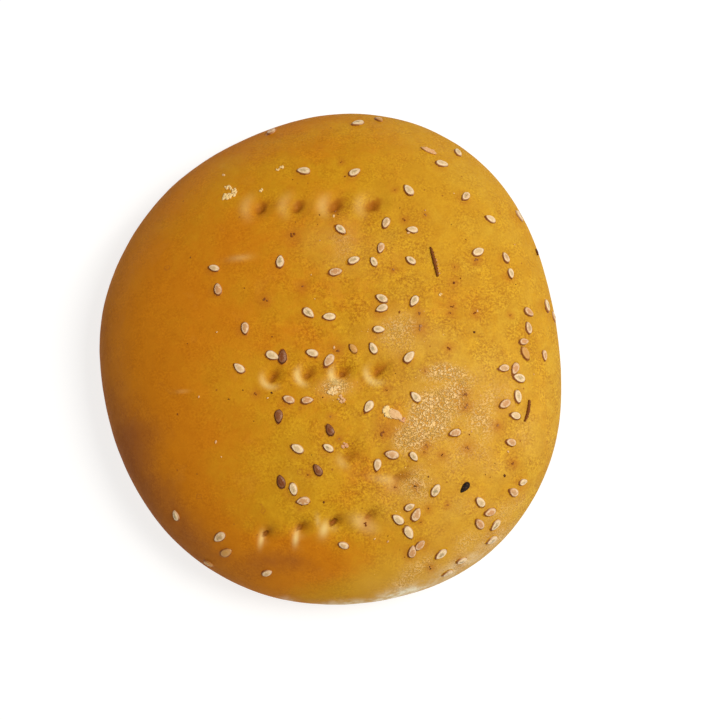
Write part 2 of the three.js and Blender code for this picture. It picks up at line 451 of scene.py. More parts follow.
def crown_height(x, y):
    """The height of the crown over a point, fork troughs included."""
    share = np.minimum(share_across(x, y), 1)
    rise = (1 - share**FULLNESS_ACROSS) ** (1 / FULLNESS_UP)
    trough = 0
    for start, end, _, _ in FORK_ROWS:
        near = distance_to_row(x, y, start, end) / TROUGH_HALF_WIDTH
        trough = trough + TROUGH_DEPTH * bell(near)
    return WAIST_HEIGHT + (ROLL_HEIGHT - WAIST_HEIGHT - trough) * rise


def crown_normal(x, y):
    """The direction that the crown faces at one point."""
    step = 0.2
    slope_x = (crown_height(x + step, y) - crown_height(x - step, y)) / (2 * step)
    slope_y = (crown_height(x, y + step) - crown_height(x, y - step)) / (2 * step)
    return Vector((-slope_x, -slope_y, 1)).normalized()


def turned(x, y, turn_deg):
    """Points turned counter-clockwise round the middle."""
    turn = math.radians(turn_deg)
    cosine = math.cos(turn)
    sine = math.sin(turn)
    return x * cosine - y * sine, x * sine + y * cosine


def turned_offsets(x, y, centre_x, centre_y, turn_deg):
    """How far points lie from a centre, along and across a turned direction."""
    return turned(x - centre_x, y - centre_y, -turn_deg)


def turned_place(centre_x, centre_y, along, across, turn_deg):
    """The point that lies so far along and across a turned direction from a centre."""
    x, y = turned(along, across, turn_deg)
    return centre_x + x, centre_y + y


def random_spot(draw, reach, evenness=0.5):
    """A random place in a disc of a radius, spread evenly unless told otherwise."""
    angle = 2 * math.pi * next(draw)
    out = reach * next(draw) ** evenness
    return out * math.cos(angle), out * math.sin(angle)


def soft_spot(x, y, centre_x, centre_y, half_length, half_width, turn_deg):
    """1 at the centre of an oval, fading out smoothly around it."""
    along, across = turned_offsets(x, y, centre_x, centre_y, turn_deg)
    return bell(np.hypot(along / half_length, across / half_width))


def patch_mask(x, y, patches):
    """The strength of soft-edged patches at points."""
    total = 0 * x
    for *oval, strength in patches:
        total = np.maximum(total, strength * soft_spot(x, y, *oval))
    return total


def between(start, end, share):
    """The point a share of the way from one to another."""
    return [a + share * (b - a) for a, b in zip(start, end)]


def pricks():
    """Every prick of the fork: its place, depth, lean, size and looks."""
    draw = draws(640)
    found = []
    for row, hollows, highlight_sides in zip(FORK_ROWS, ROW_HOLLOWS, ROW_PAINTED_HIGHLIGHTS):
        start, end, count, depth = row
        tip, hollow, lean, wide_open, dent = hollows
        pale, way, narrow, far, wide = highlight_sides
        for i in range(count):
            x, y = between(start, end, i / (count - 1))
            found.append(SimpleNamespace(
                x=x,
                y=y,
                depth=depth * (1 + 0.15 * swing(draw)),
                dent=dent,
                lean=lean + 14 * swing(draw),
                size=wide_open * (1 + 0.18 * swing(draw)),
                tip=tip * (0.9 + 0.25 * swing(draw)),
                hollow=hollow * (1 + 0.2 * swing(draw)),
                pale=pale * (0.85 + 0.25 * swing(draw)),
                way=way + 18 * swing(draw),
                narrow=narrow,
                far=far * (1 + 0.12 * swing(draw)),
                wide=wide,
            ))
    return found


def prick_relief(x, y):
    """How far the pricks lower the crust, and how strong the painted highlight beside them is."""
    drop = 0 * x
    highlight_side = 0 * x
    for prick in pricks():
        along, across = turned_offsets(x, y, prick.x, prick.y, prick.lean)
        reach = np.hypot(along / PRICK_STRETCH, across) / prick.size
        bowl = bell(reach / BOWL_RADIUS)
        core = bell(np.hypot(along / CORE_STRETCH, across) / CORE_RADIUS)
        lip = bell((reach - LIP_RADIUS) / LIP_WIDTH)
        drop += prick.depth * (prick.dent * bowl + 0.6 * core) - 0.12 * lip
        toward, beside = turned_offsets(x, y, prick.x, prick.y, prick.way)
        far = np.hypot(toward, beside)
        near = np.clip(toward / (far + 0.2), 0, 1) ** prick.narrow
        ring = bell((far - prick.far) / prick.wide)
        highlight_side = np.maximum(highlight_side, prick.pale * near * ring)
    return drop, highlight_side


def nearest_prick(x, y):
    """The offsets along and across the nearest prick, and how much painted shade its tip and
    hollow get.
    """
    nearest = np.full_like(x, np.inf)
    found = [np.zeros_like(x) for _ in range(4)]
    for prick in pricks():
        along, across = turned_offsets(x, y, prick.x, prick.y, prick.lean)
        far = np.hypot(along, across)
        closer = far < nearest
        nearest = np.where(closer, far, nearest)
        inside = smooth_step(-far, -3.6, -2.9)
        values = [
            along / prick.size,
            across / prick.size,
            prick.tip * inside,
            prick.hollow * inside,
        ]
        found = [np.where(closer, value, old) for value, old in zip(values, found)]
    return found


def section():
    """Half of the roll's section from crown to base edge: share across, height, way along."""
    turn = np.linspace(0, math.pi / 2, 400)
    crown_share = np.sin(turn) ** (2 / FULLNESS_ACROSS)
    crown_rise = WAIST_HEIGHT + (ROLL_HEIGHT - WAIST_HEIGHT) * np.cos(turn) ** (2 / FULLNESS_UP)
    side_share = BASE_SHARE + (1 - BASE_SHARE) * np.cos(turn[1:])
    side_rise = WAIST_HEIGHT * (1 - np.sin(turn[1:]))
    share = np.concatenate([crown_share, side_share])
    height = np.concatenate([crown_rise, side_rise])
    steps = np.hypot(np.diff(share * MEAN_RADIUS), np.diff(height))
    return share, height, np.concatenate([[0], np.cumsum(steps)])


def disc_grid(steps):
    """A square grid bent to a disc: the way out, 0 to 1, and the direction of each point."""
    line = np.linspace(-1, 1, steps + 1)
    a, b = np.meshgrid(line, line, indexing="ij")
    wide = np.abs(a) > np.abs(b)
    over_a = b / np.where(wide, a, 1.0)
    over_b = a / np.where(wide | (b == 0), 1.0, b)
    reach = np.where(wide, a, b)
    angle = np.where(wide, over_a, 2 - over_b) * math.pi / 4
    angle = np.where(reach < 0, angle + math.pi, angle)
    return np.abs(reach).ravel(), angle.ravel()


def crust_sheet(steps):
    """The crust from its middle down to the edge of the base, as points."""
    out, angle = disc_grid(steps)
    share, height, way = section()
    place = out * way[-1]
    reach = np.interp(place, way, share) * outline_radius(angle)
    x = OUTLINE_X + reach * np.cos(angle)
    y = OUTLINE_Y + reach * np.sin(angle)
    side = np.interp(place, way, height)
    on_crown = place <= way[len(way) // 2]
    return np.stack([x, y, np.where(on_crown, crown_height(x, y), side)], axis=1)


def sheet_faces(steps):
    """The quads of a square grid of points, and the points of its edge, counter-clockwise."""
    index = np.arange((steps + 1) ** 2).reshape(steps + 1, steps + 1)
    corners = [index[:-1, :-1], index[1:, :-1], index[1:, 1:], index[:-1, 1:]]
    sides = [index[:-1, 0], index[-1, :-1], index[:0:-1, -1], index[0, :0:-1]]
    return np.stack([c.ravel() for c in corners], axis=1), np.concatenate(sides)


def close_base(points, faces, border, rings):
    """Adds rings of quads across the flat base, and a fan in its middle."""
    middle = np.array([OUTLINE_X, OUTLINE_Y, 0.0])
    edge = points[border]
    outer = border
    rows = [points]
    quads = [faces]
    for ring in range(1, rings):
        inner = np.arange(len(border)) + len(points) + (ring - 1) * len(border)
        rows.append(middle + (edge - middle) * (1 - ring / rings))
        quads.append(np.stack([outer, inner, np.roll(inner, -1), np.roll(outer, -1)], axis=1))
        outer = inner
    rows.append(middle[None])
    tip = sum(len(row) for row in rows) - 1
    fan = [(int(a), tip, int(b)) for a, b in zip(outer, np.roll(outer, -1))]
    return np.concatenate(rows), np.concatenate(quads).tolist() + fan


def noise_at(points):
    """Smooth noise, from about -1 to 1, at points a unit of its size apart."""
    return np.array([noise.noise(Vector(point)) for point in points.tolist()])


def lumps(points):
    """The uneven swelling of baked dough, at three sizes."""
    sizes = [(24.0, 0.34), (8.0, 0.07), (2.4, 0.022)]
    total = np.zeros(len(points))
    for size, height in sizes:
        total += height * noise_at(points / size)
    return total


def blisters(x, y):
    """Small raised blisters and shallow creases scattered over the crown."""
    draw = draws(77)
    bumps = []
    for _ in range(SMALL_BLISTERS):
        centre = random_spot(draw, BLISTER_REACH)
        turn = 60 * swing(draw)
        half_length = 0.7 + 1.3 * next(draw) ** 2
        half_width = 0.45 + 0.3 * next(draw)
        height = 0.1 * swing(draw)
        bumps.append((*centre, half_length, half_width, turn, height))
    total = 0 * x
    for *oval, height in bumps + PLACED_BUMPS:
        total += height * soft_spot(x, y, *oval)
    return total


def mesh_object(name, points, faces, material):
    """A smooth mesh object from points in millimetres."""
    mesh = bpy.data.meshes.new(name)
    mesh.from_pydata((np.asarray(points) * MM).tolist(), [], faces)
    mesh.polygons.foreach_set("use_smooth", [True] * len(mesh.polygons))
    mesh.materials.append(material)
    return add_object(name, mesh)


def put_mask(made, name, values):
    """Stores a value at each point of a mesh."""
    layer = made.data.attributes.new(name, "FLOAT", "POINT")
    layer.data.foreach_set("value", np.asarray(values, np.float32))


def point_normals(made):
    """The directions that a mesh's points face."""
    flat = np.zeros(len(made.data.vertices) * 3, np.float32)
    made.data.vertices.foreach_get("normal", flat)
    return flat.reshape(-1, 3)


def crust_browning(points):
    """How brown the crust is, with painted shade: browner to the left, darker at the rim and most
    at the lower-left rim, in brown and golden patches.
    """
    x, y, _ = points.T
    cloud = noise_at(points / 15)
    patches = patch_mask(x, y, BROWN_PATCHES) - patch_mask(x, y, GOLD_PATCHES)
    near_right = smooth_step(0.6 * x - 0.8 * y, 12, 42)
    low_left = smooth_step(-0.8 * x - 0.6 * y, 24, 56)
    share = share_across(x, y)
    far_side = smooth_step(y, 0, 40)
    # Painted shade: darker towards the rim, above all at the lower left.
    rim = (0.06 + 0.2 * far_side) * (1 - near_right) * smooth_step(share, 0.86, 1.02)
    rim = rim + 0.75 * low_left * smooth_step(share, 0.7, 1.02)
    return 0.34 - x / 60 + 0.28 * cloud + patches + rim


def crust_dust_and_sheen(points):
    """How dusty the glaze is, mostly in patches on the right, whose pale veil is partly a painted
    sheen.
    """
    x, y, _ = points.T
    cloud = noise_at(points / 6)
    right = 0.07 * smooth_step(x, 0, 20)
    return patch_mask(x, y, DUSTY_AND_SHEEN_PATCHES) * (1 + 0.8 * cloud) + right


def crust_grain(x, y):
    """How grainy the glaze is: smooth on the left and towards the near and far rims."""
    inner = smooth_step(y, -52, -34) * (1 - 0.5 * smooth_step(y, 20, 38))
    far_right = smooth_step(0.6 * x + 0.8 * y, 18, 42)
    return 0.36 + 0.64 * smooth_step(x, -24, 14) * inner * (1 - 0.45 * far_right)


def make_crust(material):
    """The body of the roll, from its crown to its flat base."""
    sheet = crust_sheet(CRUST_STEPS)
    points, faces = close_base(sheet, *sheet_faces(CRUST_STEPS), BASE_RINGS)
    made = mesh_object("crust", points, faces, material)
    x, y, z = points.T
    upper = smooth_step(z, WAIST_HEIGHT - 3, WAIST_HEIGHT + 3)
    drop, highlight_side = prick_relief(x, y)
    clear_of_base = smooth_step(z, 0.0, 4.0)
    push = clear_of_base * lumps(points) + upper * (blisters(x, y) - drop)
    points = points + point_normals(made) * push[:, None]
    points[:, 2] = np.maximum(points[:, 2], 0)
    made.data.vertices.foreach_set("co", (points * MM).astype(np.float32).ravel())
    made.data.update()
    along, across, tip, hollow = nearest_prick(x, y)
    masks = {
        # Browning, with painted shade at the rim.
        "browning": crust_browning(points),
        "prick_along": along,
        "prick_across": across,
        # Painted shade in the tips and hollows of the pricks.
        "prick_tip": upper * tip,
        "prick_hollow_shade": upper * hollow,
        # Painted highlights beside the pricks and on the lit side of small ridges.
        "painted_highlight": upper * np.maximum(highlight_side, patch_mask(x, y, PAINTED_HIGHLIGHT_STREAKS)),
        # Dust, with a painted sheen in its pale veil.
        "dust_and_sheen": upper * crust_dust_and_sheen(points),
        "grain": crust_grain(x, y),
        # Stains, with painted shade in creases and painted shadows beside seeds.
        "stain_and_shadow": upper * stain_and_shadow_mask(x, y),
        "flour": patch_mask(x, y, FLOUR_PATCHES) * smooth_step(z, 6, 12),
        "side": smooth_step(share_across(x, y), 0.84, 0.98),
        "low": 1 - smooth_step(z, 2.5, 8.5),
        "under": 1 - smooth_step(z, 0.3, 2.6),
    }
    for name, values in masks.items():
        put_mask(made, name, values)
    return made


# Toppings


# How many random bits of spice lie in the glaze beside the placed ones.
LOOSE_SPOTS = 24


def dried_bits():
    """Bits of dried spice in the glaze: place, length, turn and redness."""
    draw = draws(808)
    found = [(x, y, length, 360 * next(draw), redness) for x, y, length, redness in PLACED_SPOTS]
    for _ in range(LOOSE_SPOTS):
        x, y = random_spot(draw, 40)
        length = 0.5 + 0.9 * next(draw) ** 1.5
        turn = 360 * next(draw)
        found.append((14 + 0.8 * x, y - 5, length, turn, 0.6 + 1.2 * next(draw) ** 1.5))
    return found


def stain_and_shadow_mask(x, y):
    """How stained the glaze is round dried bits, with painted shade in creases and painted shadows
    to the lower left of some seeds.
    """
    total = patch_mask(x, y, SHADED_CREASES)
    for bit_x, bit_y, length, _, _ in dried_bits():
        spread = np.hypot(x - bit_x, y - bit_y) / (0.9 * length + 0.35)
        total = np.maximum(total, bell(spread))
    # Painted shadows, a little to the lower left of some seeds.
    draw = draws(31)
    for seed_x, seed_y, _, size, _ in sesame_places():
        spread = np.hypot(x - seed_x + 0.5, y - seed_y + 0.5) / (1.7 * size)
        total = np.maximum(total, 0.75 * next(draw) ** 1.5 * bell(spread**2))
    return total


# How far out from the crown a look for the crust starts.
LOOK_FROM = 6.0


class Surface:
    """The finished crust, to stand things on."""

    def __init__(self, crust):
        corners = [v.co / MM for v in crust.data.vertices]
        faces = [tuple(p.vertices) for p in crust.data.polygons]
        self.tree = BVHTree.FromPolygons(corners, faces)

    def drop(self, point, out):
        """The point of the crust under a point, looking in along a direction."""
        hit = self.tree.ray_cast(point + out * LOOK_FROM, -out)[0]
        return point if hit is None else hit

    def stand(self, x, y, turn_deg):
        """Three directions and a foot for a thing that lies on the crown."""
        out = crown_normal(x, y)
        turn = math.radians(turn_deg)
        along = Vector((math.cos(turn), math.sin(turn), 0))
        along = (along - out * along.dot(out)).normalized()
        foot = self.drop(Vector((x, y, float(crown_height(x, y)))), out)
        return along, out.cross(along), out, foot


class Pile:
    """Many small things on the crust that become one mesh, with draws of their own."""

    def __init__(self, surface, start):
        self.surface = surface
        self.draw = draws(start)
        self.points = []
        self.faces = []
        self.masks = {}

    def add(self, points, faces, **masks):
        """Adds one thing, with a value for each mask: one for all points or one each."""
        first = sum(len(p) for p in self.points)
        self.points.append(np.asarray(points))
        self.faces += [tuple(first + i for i in face) for face in faces]
        for name, values in masks.items():
            self.masks.setdefault(name, []).append(np.broadcast_to(values, len(points)))

    def lay(self, shape, faces, x, y, turn, lift, **masks):
        """Adds one thing that lies on the crust."""
        stand = self.surface.stand(x, y, turn)
        self.add(stand_points(shape, stand, lift), faces, **masks)

    def build(self, name, material):
        """The one mesh object."""
        made = mesh_object(name, np.concatenate(self.points), self.faces, material)
        for mask, values in self.masks.items():
            put_mask(made, mask, np.concatenate(values))
        return made


def band_faces(rings, around, first=0):
    """Quads between stacked rings of points, from a first point on."""
    faces = []
    for low in range(first, first + (rings - 1) * around, around):
        for i in range(around):
            j = (i + 1) % around
            faces.append((low + i, low + around + i, low + around + j, low + j))
    return faces


def ring_faces(rings, around):
    """Faces of stacked rings of points, with a tip point before the first and after the last."""
    faces = band_faces(rings, around, 1)
    last = 1 + (rings - 1) * around
    for i in range(around):
        j = (i + 1) % around
        faces.append((0, 1 + i, 1 + j))
        faces.append((last + around, last + j, last + i))
    return faces


def drop_outline(around, taper, point):
    """A drop's outline, one unit long and wide: rounded at one end and narrow at the other."""
    angle = np.linspace(0, 2 * math.pi, around, endpoint=False)
    x = 0.5 * np.cos(angle)
    y = 0.5 * np.sin(angle) * (1 - 2 * taper * x) * (1 - point * np.clip(2 * x, 0, 1) ** 2)
    return x, y


def lens_shape(around, taper, upper, lower, point=0.0):
    """A flat closed body of unit size. upper and lower list (way out, height) of its rings."""
    outline_x, outline_y = drop_outline(around, taper, point)
    rings = list(upper) + list(lower)
    points = [np.array([[0.0, 0.0, upper[0][1]]])]
    out = [0.0]
    for way, height in rings:
        points.append(np.stack([way * outline_x, way * outline_y, height + 0 * outline_x], axis=1))
        out += [way] * around
    points.append(np.array([[0.0, 0.0, lower[-1][1]]]))
    out.append(0.0)
    return np.concatenate(points), ring_faces(len(rings), around), np.array(out)


def stand_points(points, stand, lift=0.0):
    """Moves points from a thing's own frame onto the crust."""
    along, across, out, foot = (np.array(v) for v in stand)
    basis = np.stack([along, across, out])
    return foot + out * lift + points @ basis


def sesame_places():
    """Every sesame seed: place, turn, size and thickness, stroke by stroke."""
    draw = draws(SPRINKLE_SEED)
    found = []
    for start, end, count in SPRINKLE_STROKES:
        for i in range(count):
            x, y = between(start, end, i / (count - 1))
            x += swing(draw) * SPRINKLE_DRIFT
            y += swing(draw) * SPRINKLE_DRIFT
            turn = 360 * next(draw)
            size = 1 + swing(draw) * SIZE_SPREAD
            thickness = SESAME_THICKNESS * (1 + swing(draw) * SIZE_SPREAD)
            found.append((x, y, turn, size, thickness))
    return found


# The toasted brown seeds are the ones nearest to these places.
BROWN_SEED_SPOTS = [(-9.0, -7.8), (-0.9, -19.2), (-7.4, -19.6), (-8.3, -29.4), (-4.3, -27.8)]

SEED_UPPER = [
    (0.16, 0.46), (0.34, 0.44), (0.5, 0.41), (0.64, 0.36), (0.74, 0.33),
    (0.82, 0.32), (0.89, 0.28), (0.95, 0.18), (0.99, 0.06),
]
SEED_LOWER = [(1.0, -0.05), (0.93, -0.22), (0.7, -0.4), (0.35, -0.48)]
SEED_AROUND = 26


def brown_seeds(places):
    """Which seeds are toasted brown."""
    found = set()
    for spot in BROWN_SEED_SPOTS:
        found.add(min(range(len(places)), key=lambda i: math.dist(places[i][:2], spot)))
    return found


def toasted(is_brown, draw):
    """How toasted a seed is: most are cream, a few pinkish tan, and some brown."""
    if is_brown:
        return 0.87 + 0.13 * next(draw)
    return min(0.55, next(draw) ** 3 * 0.8 + 0.03)


def seed_outlines(count):
    """How tapered and how pointed each seed is."""
    draw = draws(66)
    found = []
    for _ in range(count):
        found.append((SESAME_TAPER * (0.35 + 0.9 * next(draw)), 0.25 * next(draw)))
    return found


def make_sesame(surface, material):
    """The sesame seeds, each a little different."""
    pile = Pile(surface, 4021)
    draw = pile.draw
    places = sesame_places()
    brown = brown_seeds(places)
    outlines = seed_outlines(len(places))
    for number, (x, y, turn, size, thickness) in enumerate(places):
        taper, point = outlines[number]
        shape, faces, out = lens_shape(SEED_AROUND, taper, SEED_UPPER, SEED_LOWER, point)
        stand = surface.stand(x, y, turn)
        warp = 1 + 0.1 * swing(draw) * shape[:, :1]
        bare = size * SESAME_BARE
        points = shape * (bare * SESAME_LENGTH, bare * SESAME_WIDTH, thickness) * warp
        points[:, 2] += 0.06 * swing(draw) * points[:, 0]
        points = stand_points(points, stand, SESAME_LIFT)
        # How far each point lies towards the side where shadow is painted.
        run = (points[:, 0] - x) * SHADOW_AND_POOL_SIDE[0] + (points[:, 1] - y) * SHADOW_AND_POOL_SIDE[1]
        tone = 0.15 + 0.75 * next(draw)
        toast = toasted(number in brown, draw)
        glazed = 0.0 if number in brown else 0.9 * (next(draw) < 0.08)
        masks = {"toast": toast, "tone": tone, "glazed": glazed}
        pile.add(points, faces, edge=out, beside=shape[:, 1], run=run, **masks)
    return pile.build("sesame_seeds", material)


def make_glaze_and_shade_rings(surface, material):
    """Egg glaze that pooled and darkened round each seed, with painted contact shade, shifted a
    little towards the lower left.
    """
    around = 30
    profile = [(0.82, 0.1), (0.96, 0.1), (1.03, 0.07), (1.12, 0.02), (1.22, -0.06)]
    run = Vector((*SHADOW_AND_POOL_SIDE, 0)) * SHADOW_AND_POOL_SHIFT
    pile = Pile(surface, 913)
    draw = pile.draw
    places = sesame_places()
    for (x, y, turn, size, _), (taper, point) in zip(places, seed_outlines(len(places))):
        outline_x, outline_y = drop_outline(around, taper, point)
        stand = surface.stand(x, y, turn)
        out = stand[2]
        reach = 0.55 + 0.9 * next(draw)
        phase = 2 * math.pi * next(draw)
        points = []
        for way, height in profile:
            wide = 1 + (way - 1) * reach * (1.1 + 0.5 * np.sin(np.arange(around) * 0.42 + phase))
            ring = np.stack([
                wide * outline_x * size * SESAME_LENGTH,
                wide * outline_y * size * SESAME_WIDTH,
                0 * outline_x,
            ], axis=1)
            for corner in stand_points(ring, stand):
                foot = surface.drop(Vector(corner) + run, out)
                points.append(np.array(foot + out * height))
        ways = np.repeat([way for way, _ in profile], around)
        edge = (ways - ways[0]) / (ways[-1] - ways[0])
        faces = band_faces(len(profile), around)
        pile.add(points, faces, edge=edge, browning=crust_browning(np.array(points)))
    return pile.build("glaze_and_shade_rings", material)


# How near the rim the smallest bits still lie, as a share of the way across.
LAST_CRUMB_SHARE = 0.95
# How many specks of spice and loose crumbs there are.
DARK_SPECKS = 46
LOOSE_CRUMBS = 22
# Grains for each square millimetre of a dusty patch, and the strength below which it has none.
GRAINS_PER_AREA = 9
BARE_OF_GRAINS = 0.4


def rough_blob(pile, x, y, turn, size, lift, around=9, **masks):
    """An uneven little lump lying on the crust, of a length, width and thickness."""
    if share_across(x, y) > LAST_CRUMB_SHARE:
        return
    upper = [(0.45, 0.42), (0.8, 0.28), (0.98, 0.06)]
    lower = [(0.85, -0.3), (0.4, -0.45)]
    shape, faces, _ = lens_shape(around, 0.15 * swing(pile.draw), upper, lower)
    jitter = np.array([1 + 0.22 * swing(pile.draw) for _ in range(len(shape))])
    pile.lay(shape * size * jitter[:, None], faces, x, y, turn, lift, **masks)


def crumb_cluster(pile, x, y, turn, length, width, count, **masks):
    """Small uneven lumps that cling together, within a length and a width."""
    draw = pile.draw
    for _ in range(count):
        along, across = random_spot(draw, 0.42)
        place = turned_place(x, y, length * along, width * across, turn)
        long = width * (0.32 + 0.3 * next(draw))
        lump = (long, 0.75 * long, 0.6 * long)
        rough_blob(pile, *place, 360 * next(draw), lump, 0.06, **masks)


def flake(pile, x, y, turn, size, raggedness, curl, **masks):
    """A thin ragged flake with a curled rim, of a length, width and thickness."""
    upper = [(0.3, 0.5), (0.55, 0.46), (0.76, 0.44), (0.9, 0.4), (1, 0.2)]
    lower = [(0.97, -0.25), (0.7, -0.4), (0.35, -0.45)]
    shape, faces, out = lens_shape(30, 0.1, upper, lower)
    phase = 40 * next(pile.draw)
    ragged = noise_at(shape * (3.2, 3.2, 0) + (phase, 0, 0))
    ragged += 0.6 * noise_at(shape * (9, 9, 0) + (phase, 0, 4))
    points = shape * size
    points[:, :2] *= (1 + raggedness * ragged * out)[:, None]
    points[:, 2] += curl * (out**2) * (0.5 + ragged) + 0.12 * ragged
    pile.lay(points, faces, x, y, turn, 0.1, **masks)


def stalk(pile, x, y, turn, length, width, bend, **masks):
    """A thin dry stalk that follows the crust, a little bent, with nubs on one side."""
    around = 8
    steps = 36
    nubs = 9
    draw = pile.draw
    along, across, out, _ = pile.surface.stand(x, y, turn)
    base = Vector((x, y, float(crown_height(x, y))))
    points = []
    for step in range(steps + 1):
        share = 2 * step / steps - 1
        line = base + along * (length / 2 * share) + across * (bend * (1 - share**2))
        foot = pile.surface.drop(line, out) + out * (0.35 * width)
        thick = width / 2 * (1 - 0.45 * abs(share) ** 3) * (1 + 0.24 * swing(draw))
        if step == 0:
            points.append(np.array(foot))
        nub = 0.55 * max(0.0, math.sin(math.pi * nubs * share)) * (0.6 + 0.4 * swing(draw))
        for i in range(around):
            angle = 2 * math.pi * i / around
            ridge = 1 + 0.15 * math.cos(3 * angle + share) + nub * max(0.0, math.cos(angle))
            side = across * (math.cos(angle) * thick * ridge)
            points.append(np.array(foot + side + out * (math.sin(angle) * thick * ridge)))
        if step == steps:
            points.append(np.array(foot))
    pile.add(points, ring_faces(steps + 1, around), **masks)


def make_dark_bits(surface, material):
    """The black seed, two dark stalks and a scatter of brown specks of spice."""
    pile = Pile(surface, 5150)
    draw = pile.draw
    upper = [(0.2, 0.47), (0.42, 0.43), (0.62, 0.36), (0.8, 0.25), (0.94, 0.12)]
    lower = [(1.0, -0.05), (0.85, -0.25), (0.5, -0.42)]
    shape, faces, _ = lens_shape(20, 0.28, upper, lower, 0.2)
    pile.lay(shape * (2.9, 1.5, 1.2), faces, 29.5, -32.6, 230, 0.1, tint=0)
    stalk(pile, 23.1, 16.7, -78, 7, 0.68, 0.04, tint=0.62)
    stalk(pile, 43.5, -15.4, -104, 4.9, 0.74, 0.3, tint=0.66)
    stalk(pile, 47, 22.6, -95, 1.6, 0.5, 0.1, tint=0.4)
    for _ in range(DARK_SPECKS):
        x, y = random_spot(draw, 51)
        x = 6 + 0.86 * x
        y = 0.88 * y - 4
        long = 0.25 + 0.6 * next(draw) ** 3
        size = (long, long * (0.5 + 0.4 * next(draw)), 0.24)
        tint = 0.35 + 0.65 * next(draw)
        rough_blob(pile, x, y, 360 * next(draw), size, 0.03, tint=tint)
    for x, y, length, turn, redness in dried_bits():
        crumb_cluster(pile, x, y, turn, length, 0.7 * length, 4, tint=redness)
    return pile.build("dark_bits", material)


def make_crumbs(surface, material):
    """Pale flakes, the husk, the fine grains of the dusty patches and loose crumbs."""
    pile = Pile(surface, 2718)
    draw = pile.draw

    def cluster(x, y, turn, length, width, count, pink):
        crumb_cluster(pile, x, y, turn, length, width, count, pink=pink)

    cluster(-22.9, 32.6, 20, 2.8, 1.6, 22, 0.1)
    cluster(-21.2, 33.6, 100, 2.4, 1.3, 16, 0.15)
    cluster(-22.6, 34.9, -25, 2.4, 1.1, 14, 0.1)
    cluster(12.9, -16.8, -60, 2.9, 2.0, 36, 0.05)
    flake(pile, 14.5, -17.5, -28, (3.2, 1.9, 0.6), 0.15, 0.1, pink=0.6)
    cluster(16.0, -18.5, -35, 1.3, 1.2, 8, 1.0)
    flake(pile, 22.4, 44.3, -24, (3.6, 1.1, 0.5), 0.25, 0.25, pink=0.7)
    cluster(23.75, 16.5, -78, 7.0, 0.5, 16, 0.9)
    cluster(-15.2, 33.9, 40, 1.1, 1.1, 6, 0.1)
    cluster(-11.1, 39.4, 35, 2.4, 1.1, 10, 0.2)
    cluster(24.4, 9.2, 60, 1.0, 0.8, 5, 0.3)
    cluster(1.2, -12.2, 20, 3.0, 1.7, 22, 0.3)
    cluster(2.8, -14.2, -60, 2.3, 1.4, 14, 0.7)
    cluster(3.6, -24.0, 70, 1.8, 1.3, 10, 0.9)
    for x, y, half_length, half_width, turn, strength in DUSTY_AND_SHEEN_PATCHES:
        thick = max(0.0, strength - BARE_OF_GRAINS)
        for _ in range(int(GRAINS_PER_AREA * thick * half_length * half_width)):
            along, across = random_spot(draw, 1.3, 0.6)
            place = turned_place(x, y, along * half_length, across * half_width, turn)
            long = 0.18 + 0.22 * next(draw) ** 2
            size = (long, 0.75 * long, 0.6 * long)
            way = 360 * next(draw)
            rough_blob(pile, *place, way, size, -0.03, 6, pink=1 + next(draw))
    for _ in range(LOOSE_CRUMBS):
        place = random_spot(draw, 49)
        long = 0.35 + 0.6 * next(draw) ** 2
        size = (long, 0.6 * long, 0.3)
        way = 360 * next(draw)
        rough_blob(pile, *place, way, size, 0.05, pink=0.3 + 0.5 * next(draw))
    return pile.build("crumbs", material)


# Materials


def crust_material():
    """Egg-glazed turmeric-yellow crust, browner to one side and darker at the rim with painted
    shade, with pores, dusty patches with a painted sheen, and painted shade and highlights at the
    pricks.
    """
    graph = Graph("crust_glazed")
    cloud = graph.grain(7, 3, 0.55)
    fine = graph.grain(1.3, 3, 0.6)
    # Fine uneven grit, from 0 in the gaps to 1 on top of each grain.
    grit = graph.fit(graph.grain(0.44, 2, 0.6, 0.5), 0.4, 0.62)
    tint = mottle(graph, baked_tint(graph, cloud, fine))
    tint = dusty_and_sheen_tint(graph, tint, grit)
    tint = marked_tint(graph, tint)
    tint = side_tint(graph, tint, cloud, fine)
    rough = graph.plus(graph.vary(fine, 0.42, 0.5), graph.times(graph.mask("dust_and_sheen"), 0.08))
    rough = graph.plus(rough, graph.times(graph.mask("side"), 0.3), clamp=True)
    return graph.finish(tint, rough, crust_bump(graph, fine, grit), 1.18, (1, 0.86, 0.55))


def baked_tint(graph, cloud, fine):
    """Gold to amber to brown, in soft clouds."""
    uneven = graph.plus(graph.vary(cloud, -0.26, 0.26), graph.vary(fine, -0.1, 0.1))
    uneven = graph.times(uneven, graph.plus(graph.mask("grain"), 0.1))
    return baked_colour(graph, graph.plus(graph.mask("browning"), uneven))


def baked_colour(graph, brown):
    """The colour of the crust: pale gold at -0.75, amber at 1, dark brown from 2.3 on."""
    pale_gold = (0.545, 0.3, 0.02)
    gold = (0.55, 0.272, 0.01)
    amber = (0.54, 0.182, 0.006)
    dark_brown = (0.33, 0.098, 0.015)
    return graph.paint(
        pale_gold,
        (graph.fit(brown, -0.75, 0.15), gold),
        (graph.fit(brown, 0, 1), amber),
        (graph.fit(brown, 1.1, 2.3), dark_brown),
    )


